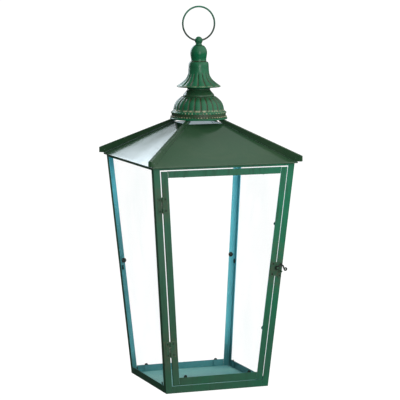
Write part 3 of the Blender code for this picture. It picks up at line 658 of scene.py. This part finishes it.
def crown_cap(material):
    """The bulbous top section under the eye."""
    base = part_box("crown_cap")[0].z
    skin = smooth_run([(0.0170, 0.0), (0.0173, 0.0008), (0.0170, 0.0034), (0.0171, 0.0067),
                       (0.0179, 0.0115), (0.0186, 0.0165), (0.0187, 0.0205), (0.0182, 0.0242),
                       (0.0169, 0.0277), (0.0143, 0.0322), (0.0117, 0.0347), (0.0098, 0.0353)], 5)
    outline = skin + [(0.0034, 0.0353), (0.0034, 0.0)]
    profile = [(radius, base + height) for radius, height in outline]

    def carve(radius, height, angle):
        level = height - base
        line = 1 - rise(level, 0.0004, 0.0030) if radius > 0.006 else 0.0
        line = max(line, rise(level, 0.0336, 0.0352) * 0.7)
        return radius, line * 0.9, 0.0

    mesh = turned("crown_cap", profile, 96, carve)
    add_piece("crown_cap_cast", mesh, material, "lantern", ("crown_cap",))


def eye(material):
    """The ball with its cross hole, its neck and the shank inside the crown."""
    centre = JOINTS["ring_swing"]["pos_m"][2]
    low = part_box("eye_bolt")[0].z
    radius = 0.0089
    neck = 0.0066
    hole = 0.0034
    steps = 20
    start = -math.acos(neck / radius)
    angles = [start + (math.pi / 2 - start) * step / steps for step in range(steps)]
    ball = [(radius * math.cos(angle), centre + radius * math.sin(angle)) for angle in angles]
    seat = centre - 0.0106
    collar = [(0.0, low), (0.0030, low), (0.0030, seat), (0.0084, seat), (0.0088, seat + 0.0003),
              (0.0084, seat + 0.0008), (0.0072, seat + 0.0016)]
    profile = collar + ball + [(0.0, centre + radius)]
    ball_piece = add_piece("eye_ball", solid_turned("eye_ball", profile, 48), material,
                           "lantern", ("eye_bolt",))
    shape = bmesh.new()
    across = Matrix.Translation((0, 0, centre)) @ Matrix.Rotation(math.pi / 2, 4, "Y")
    bmesh.ops.create_cone(shape, cap_ends=True, segments=40, radius1=hole, radius2=hole,
                          depth=radius * 4, matrix=across)
    cut(ball_piece, to_mesh("eye_hole", shape))


def cut(piece, tool_mesh):
    """Take a tool's volume out of a piece, for good."""
    tool = add_helper("cutter", tool_mesh)
    combine(piece, tool, "DIFFERENCE")


def combine(piece, tool, operation):
    """Add a tool's volume to a piece or take it out, and remove the tool."""
    modifier = piece.modifiers.new("combine", "BOOLEAN")
    modifier.object = tool
    modifier.operation = operation
    modifier.solver = "EXACT"
    bake_modifiers(piece)
    bpy.data.objects.remove(tool)


def bake_modifiers(piece):
    """Replace a piece's mesh by what its modifiers make of it."""
    material = piece.data.materials[0]
    bpy.context.view_layer.update()
    evaluated = piece.evaluated_get(bpy.context.evaluated_depsgraph_get())
    mesh = bpy.data.meshes.new_from_object(evaluated)
    piece.modifiers.clear()
    piece.data = mesh
    mesh.materials.clear()
    mesh.materials.append(material)
    shade(mesh, CUT_EDGE)


def wire_ring(shape, centre, out, radius, sides):
    """The points round a wire that runs in the XZ plane, at right angles to a direction."""
    points = []
    for side in range(sides):
        angle = TURN * side / sides
        aside = Vector((0, radius * math.sin(angle), 0))
        points.append(shape.verts.new(centre + out * radius * math.cos(angle) + aside))
    return points


def hanging_ring(material):
    """The round wire ring through the eye."""
    low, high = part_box("bail_ring")
    wire = (high.y - low.y) / 2
    radius = (high.z - low.z) / 2 - wire
    centre = (low + high) / 2
    shape = bmesh.new()
    around = 144
    sides = 16
    rings = []
    for step in range(around):
        angle = TURN * step / around
        out = Vector((math.cos(angle), 0, math.sin(angle)))
        rings.append(wire_ring(shape, centre + out * radius, out, wire, sides))
    bridge(shape, zip(rings, rings[1:] + rings[:1]))
    mesh = to_mesh("hanging_ring", shape, 60)
    add_piece("hanging_ring", mesh, material, "ring", ("bail_ring",))


# ---------------------------------------------------------------- roof

def roof_rows(reach_top, reach_eave, top_height, lip_height):
    """Where a roof sheet runs: its points from top to lip, their normals, and the way down.

    A point is (distance from the centre line, height); the way down is 1 from the bend on.
    """
    roll = 0.0022
    fold_height = lip_height + 0.0025
    tilt = math.atan2(top_height - fold_height, reach_eave - reach_top)
    steep = math.pi / 2 - tilt
    slope = Vector((math.cos(tilt), -math.sin(tilt)))
    top = Vector((reach_top, top_height))
    start = Vector((reach_eave, fold_height)) - slope * roll * math.tan(steep / 2)
    upward = Vector((math.sin(tilt), math.cos(tilt)))
    centre = start - upward * roll
    flat_steps = 26
    bend_steps = 7
    rows = []
    for step in range(flat_steps):
        down = step / flat_steps
        rows.append((top.lerp(start, down), upward, down))
    for step in range(bend_steps + 1):
        angle = steep * (1 - step / bend_steps)
        normal = Vector((math.cos(angle), math.sin(angle)))
        rows.append((centre + normal * roll, normal, 1.0))
    rows.append((Vector((reach_eave, lip_height)), Vector((1, 0)), 1.0))
    return rows


def roof_sheet(side, material):
    """A roof panel of thin sheet, softly rolled over at the eave and a little out of true."""
    name = f"roof_panel_{side}"
    outward, direction = SIDES[side]
    low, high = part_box(name)
    reach_top, reach_eave = sorted((abs(low.dot(outward)), abs(high.dot(outward))))
    rows = roof_rows(reach_top, reach_eave, high.z, low.z)
    sheet = 0.001
    mitre = 0.0005
    waves_per_metre = 17
    wave_height = 0.00022
    wave_seed = Vector((0, 0, 3.1))
    shape = bmesh.new()
    across = 40
    layers = []
    for depth in (0.0, sheet):
        grid = []
        for point, normal, down in rows:
            place = point - normal * depth
            line = []
            for step in range(across + 1):
                share = step / across * 2 - 1
                half = place.x - mitre
                spot = outward * place.x + direction * half * share
                spot.z = place.y
                calm = (1 - share ** 4) * math.sin(math.pi * down) ** 0.5 if down < 1 else 0
                wave = noise.noise(spot * waves_per_metre + wave_seed) * wave_height * calm
                spot += (outward * normal.x + Vector((0, 0, normal.y))) * wave
                line.append(shape.verts.new(spot))
            grid.append(line)
        layers.append(grid)
    outer, inner = layers
    last = len(rows) - 1
    for row in range(last):
        for step in range(across):
            for grid in (outer, inner):
                shape.faces.new((grid[row][step], grid[row][step + 1],
                                 grid[row + 1][step + 1], grid[row + 1][step]))
        for step in (0, across):
            shape.faces.new((outer[row][step], outer[row + 1][step],
                             inner[row + 1][step], inner[row][step]))
    for row in (0, last):
        for step in range(across):
            shape.faces.new((outer[row][step], outer[row][step + 1],
                             inner[row][step + 1], inner[row][step]))
    mesh = to_mesh(name, shape, 50)
    add_piece(f"roof_sheet_{side}", mesh, material, "lantern", (name,))


def rivet_mesh(name, radius, height):
    """A low domed rivet head on the XZ plane, facing -Y."""
    profile = [(0.0, 0.0), (radius, 0.0)]
    steps = 6
    for step in range(steps):
        angle = math.pi / 2 * step / steps
        profile.append((radius * math.cos(angle), height * (0.25 + 0.75 * math.sin(angle))))
    profile.append((0.0, height))
    mesh = solid_turned(name, profile, 20, 50)
    mesh.transform(Matrix.Rotation(math.pi / 2, 4, "X"))
    return mesh


def rib_rivets(material):
    """A rivet through each side wall of the hip ribs, close to the eave."""
    from_tip = 0.0125
    from_foot = 0.0100
    wall = 0.004
    for corner, (sign_x, sign_y) in CORNERS.items():
        low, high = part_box(f"roof_rib_{corner}")
        reach = max(abs(low.x), abs(high.x)) - from_tip
        for label, turn in (("x", -1), ("y", 1)):
            across = Vector((sign_x, -sign_y, 0)).normalized() * turn
            spot = Vector((sign_x * reach, sign_y * reach, low.z + from_foot)) + across * wall
            place = across.to_track_quat("-Y", "Z").to_matrix().to_4x4()
            place.translation = spot
            name = f"rib_rivet_{corner}_{label}"
            add_piece(name, rivet_mesh(name, 0.0015, 0.0007), material, "lantern",
                      place=place)


# ---------------------------------------------------------------- hinges and latch

def screw_mesh(name, radius, height, material):
    """A domed screw head with a straight slot, facing -Y."""
    mesh = rivet_mesh(name, radius, height)
    mesh.materials.append(material)
    holder = add_helper(name, mesh)
    slot = bmesh.new()
    size = (radius * 3, height, radius * 0.3)
    place = Matrix.Translation((0, -height, 0)) @ Matrix.Diagonal((*size, 1))
    bmesh.ops.create_cube(slot, size=1, matrix=place)
    cut(holder, to_mesh("slot", slot))
    result = holder.data
    bpy.data.objects.remove(holder)
    return result


def hinge_screws(material):
    """Two slotted screws on every hinge leaf."""
    axes = face_axes(-1)
    right, inward, upward = (axes.col[index].xyz for index in range(3))
    from_pin = 0.0066
    sunk = 0.0003
    for level in ("lower", "upper"):
        centre = middle(f"hinge_pin_{level}") + inward * sunk
        for part, body, direction in (("post", "lantern", -1), ("door", "door", 1)):
            for number, along in enumerate((-0.0125, 0.0125), 1):
                name = f"hinge_screw_{part}_{level}_{number}"
                turn = Matrix.Rotation(0.5 + number * 1.1 + direction * 0.7, 4, "Y")
                place = axes.copy()
                place.translation = centre + right * direction * from_pin + upward * along
                add_piece(name, screw_mesh(name, 0.0017, 0.0009, material), material, body,
                          place=place @ turn)


def plate_rivets(material):
    """Domed rivets in the latch plate and the catch plate."""
    axes = face_axes(1)
    right, inward, upward = (axes.col[index].xyz for index in range(3))
    pivot_to_face = 0.0035
    face = Vector(JOINTS["latch_turn"]["pos_m"]) + inward * pivot_to_face
    for name, body, across, along, proud, height in (
            ("latch_rivet_upper", "door", -0.0095, 0.0080, 0.0015, 0.00022),
            ("latch_rivet_lower", "door", -0.0095, -0.0150, 0.0015, 0.00022),
            ("catch_rivet_upper", "lantern", 0.0085, 0.0085, 0.0013, 0.0004),
            ("catch_rivet_lower", "lantern", 0.0085, -0.0175, 0.0013, 0.0004)):
        place = axes.copy()
        place.translation = face + right * across + upward * along - inward * proud
        add_piece(name, rivet_mesh(name, 0.0021, height), material, body,
                  place=place)


def arc(centre, radius, start, sweep, steps):
    """Points along an arc; its start and sweep are in degrees, anticlockwise."""
    points = []
    for step in range(steps + 1):
        angle = math.radians(start + sweep * step / steps)
        points.append((centre[0] + radius * math.cos(angle), centre[1] + radius * math.sin(angle)))
    return points


def latch_lever(material):
    """The turning hook: a hub on the pivot with a wire arm that arches over and ends in a curl."""
    depth = 0.0034
    hub = [(0.0019, -depth / 2), (0.0050, -depth / 2), (0.0052, -depth / 4), (0.0052, depth / 4),
           (0.0046, depth / 2), (0.0019, depth / 2)]
    hub_mesh = turned("latch_hook", hub, 40)
    hub_mesh.transform(Matrix.Rotation(math.pi / 2, 4, "X"))
    hub_mesh.materials.append(material)
    hub_piece = add_helper("hook_hub", hub_mesh)

    arch = arc((0.0086, -0.0006), 0.0072, 165, -113, 18)
    curl = arc((0.0196, -0.0022), 0.0026, 215, 270, 30)
    arm_run = smooth_run(arch + curl[1::2], 3)
    arm = tube("hook_arm", [(x, 0, z) for x, z in arm_run], 0.0017, 14)
    arm.materials.append(material)
    combine(hub_piece, add_helper("hook_arm", arm), "UNION")
    mesh = hub_piece.data
    bpy.data.objects.remove(hub_piece)
    place = face_axes(1)
    place.translation = Vector(JOINTS["latch_turn"]["pos_m"])
    add_piece("latch_hook", mesh, material, "latch", ("latch_lever",), place)


def tube(name, points, radius, sides):
    """A round wire along a run of points in the XZ plane, with pointed ends."""
    shape = bmesh.new()
    rings = []
    count = len(points)
    for index, point in enumerate(points):
        here = Vector(point)
        ahead = Vector(points[min(index + 1, count - 1)])
        behind = Vector(points[max(index - 1, 0)])
        along = (ahead - behind).normalized()
        across = Vector((along.z, 0, -along.x))
        rings.append(wire_ring(shape, here, across, radius, sides))
    bridge(shape, zip(rings, rings[1:]))
    for end, beside in ((0, 1), (-1, -2)):
        out = (Vector(points[end]) - Vector(points[beside])).normalized()
        tip = shape.verts.new(Vector(points[end]) + out * radius * 0.7)
        ring = rings[end]
        for side in range(sides):
            shape.faces.new((ring[side], ring[(side + 1) % sides], tip))
    return to_mesh(name, shape, 60)


# ---------------------------------------------------------------- CAD parts that are shown

def soften(piece, width):
    """Round a CAD part's sharp edges a little, as folded and filed metal has."""
    weld = piece.modifiers.new("weld", "WELD")
    weld.merge_threshold = 0.00001
    bevel = piece.modifiers.new("soft_edges", "BEVEL")
    bevel.width = width
    bevel.segments = 2
    bevel.limit_method = "ANGLE"
    bevel.angle_limit = math.radians(30)


def dress(node, material, edge):
    """Give a CAD part its finished material and softened edges."""
    piece = frame["nodes"][node]
    piece.data.materials.clear()
    piece.data.materials.append(material)
    if edge > 0:
        soften(piece, edge)


def dress_frame(looks):
    """Materials and softened edges for every CAD node that stays in view.

    Each look lists the width of its softened edges and how the names of its nodes start.
    """
    plain = {
        "frame": (0.0005, ("corner_post_", "base_rail_", "top_rail_", "door_stile_", "door_rail_")),
        "tray": (0.0003, ("base_tray",)),
        "roof": (0.0005, ("roof_rib_",)),
        "hinge": (0.0002, ("hinge_leaf_", "hinge_pin_", "latch_plate", "catch_plate")),
        "clip": (0.00025, ("pane_clip_",)),
        "hardware": (0.00025, ("round_clip_", "door_clip_", "crown_nut")),
        "glass": (0.0, ("glass_", "door_glass")),
    }
    for node in frame["nodes"]:
        for look, (edge, starts) in plain.items():
            if node.startswith(starts):
                dress(node, looks[look], edge)


# ---------------------------------------------------------------- studio

KEY_DIRECTION = (0.50, -0.75, 0.43)
SKY_BRIGHT = 2.0
SKY_DIM = 0.28
SKY_BENEATH = 1.0
FLOOR_GLOW = 1.0
FLOOR_GREY = 0.08
WHITE = (1, 1, 1)
COOL = (0.80, 0.91, 1.0)
GREENISH = (0.70, 1.0, 0.86)


def add_light(name, place, target, size, power, tint=WHITE, roll=0):
    """A soft rectangular lamp aimed at a point and turned on its own axis, itself out of sight."""
    data = bpy.data.lights.new(name, "AREA")
    data.shape = "RECTANGLE"
    data.size, data.size_y = size
    data.energy = power
    data.color = tint
    lamp = bpy.data.objects.new(name, data)
    bpy.context.scene.collection.objects.link(lamp)
    lamp.location = place
    aim = (Vector(target) - Vector(place)).to_track_quat("-Z", "Y").to_matrix()
    lamp.rotation_euler = (aim @ Matrix.Rotation(math.radians(roll), 3, "Z")).to_euler()
    lamp.visible_camera = False


def build_floor():
    """A white floor that glows a little, so that it stays even and pale all round."""
    shape = bmesh.new()
    bmesh.ops.create_grid(shape, x_segments=1, y_segments=1, size=60)
    floor = bpy.data.objects.new("studio_floor", to_mesh("studio_floor", shape))
    bpy.context.scene.collection.objects.link(floor)
    look = Look("studio_floor")
    look.feed(look.shader.inputs["Emission Color"], (*WHITE, 1))
    look.feed(look.shader.inputs["Emission Strength"], FLOOR_GLOW)
    grey = (FLOOR_GREY, FLOOR_GREY, FLOOR_GREY, 1)
    floor.data.materials.append(look.finish(grey, 0.9, specular=0.0))
    just_below = -0.0002
    floor.location.z = just_below
    floor.visible_glossy = False
    floor.visible_diffuse = False


def ramp(tree, value, span, result):
    """A node that carries a value smoothly from one range to another."""
    node = tree.nodes.new("ShaderNodeMapRange")
    node.interpolation_type = "SMOOTHSTEP"
    tree.links.new(value, node.inputs["Value"])
    for key, number in zip(("From Min", "From Max", "To Min", "To Max"), (*span, *result)):
        node.inputs[key].default_value = number
    return node.outputs["Result"]


def build_sky():
    """Soft light: strongest from the front right, weak from below, fuller from right beneath."""
    world = bpy.data.worlds.new("studio")
    bpy.context.scene.world = world
    world.use_nodes = True
    tree = world.node_tree
    direction = tree.nodes.new("ShaderNodeTexCoord").outputs["Generated"]
    towards = tree.nodes.new("ShaderNodeVectorMath")
    towards.operation = "DOT_PRODUCT"
    tree.links.new(direction, towards.inputs[0])
    towards.inputs[1].default_value = Vector(KEY_DIRECTION).normalized()
    split = tree.nodes.new("ShaderNodeSeparateXYZ")
    tree.links.new(direction, split.inputs[0])
    key = ramp(tree, towards.outputs["Value"], (0.1, 0.98), (SKY_DIM, SKY_BRIGHT))
    upper = ramp(tree, split.outputs[2], (-0.12, 0.08), (0.12, 1.0))
    beneath = ramp(tree, split.outputs[2], (-0.55, -0.75), (0.0, SKY_BENEATH))
    above = tree.nodes.new("ShaderNodeMath")
    above.operation = "MULTIPLY"
    tree.links.new(key, above.inputs[0])
    tree.links.new(upper, above.inputs[1])
    whole = tree.nodes.new("ShaderNodeMath")
    whole.operation = "ADD"
    tree.links.new(above.outputs[0], whole.inputs[0])
    tree.links.new(beneath, whole.inputs[1])
    background = tree.nodes["Background"]
    tree.links.new(whole.outputs[0], background.inputs["Strength"])
    background.inputs["Color"].default_value = (*WHITE, 1)


def build_studio():
    """A pale floor, a soft sky and a few soft lamps."""
    build_floor()
    build_sky()
    eave = Vector((0, 0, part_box("roof_panel_front")[0].z))
    left_panel = eave + Vector((-0.14, 0, 0))
    front_panel = eave + Vector((0.04, -0.11, 0))
    # Mirrored by the left roof panel, which turns it pale.
    add_light("back_sheen", (-0.200, 0.60, 0.862), left_panel, (0.50, 0.30), 2.7, COOL, roll=-52)
    # Mirrored by the front roof panel, to the right of its middle.
    add_light("roof_sheen", (0.56, 0.32, 1.885), front_panel, (0.2, 0.4), 0.14, GREENISH)
    # Reaches in through the door to the rear posts and rails.
    add_light("front_fill", (-0.25, -3.0, 0.75), (0, 0.15, 0.35), (0.7, 0.7), 18)
    # A tall glint down the crown.
    add_light("crown_strip", (0.6, -3.95, 1.3), (0, 0, 0.68), (0.35, 1.6), 2.0)


def add_camera():
    """The viewing angle: from the left, a little above, through a long lens."""
    data = bpy.data.cameras.new("camera")
    data.sensor_width = 36
    data.lens = 183.1
    data.shift_x = 0.00335
    data.clip_end = 200
    camera = bpy.data.objects.new("camera", data)
    bpy.context.scene.collection.objects.link(camera)
    camera.location = (-1.5686, -4.2311, 0.9718)
    looked_at = Vector((0, 0, 0.4081))
    aim = looked_at - camera.location
    camera.rotation_euler = aim.to_track_quat("-Z", "Y").to_euler()
    bpy.context.scene.camera = camera
    bpy.context.scene.view_settings.view_transform = "Standard"


def main():
    looks = {
        "frame": frame_paint(),
        "tray": tray_paint(),
        "roof": roof_paint(),
        "crown": crown_paint(),
        "ring": ring_paint(),
        "hardware": dark_hardware(),
        "clip": clip_paint(),
        "hinge": hinge_metal(),
        "glass": clear_glass(),
    }
    dress_frame(looks)
    for side in SIDES:
        roof_sheet(side, looks["roof"])
    rib_rivets(looks["roof"])
    crown_dome(looks["crown"])
    crown_bell(looks["crown"])
    crown_cap(looks["crown"])
    eye(looks["crown"])
    hanging_ring(looks["ring"])
    hinge_screws(looks["hardware"])
    plate_rivets(looks["hardware"])
    latch_lever(looks["hardware"])
    build_studio()
    add_camera()


main()
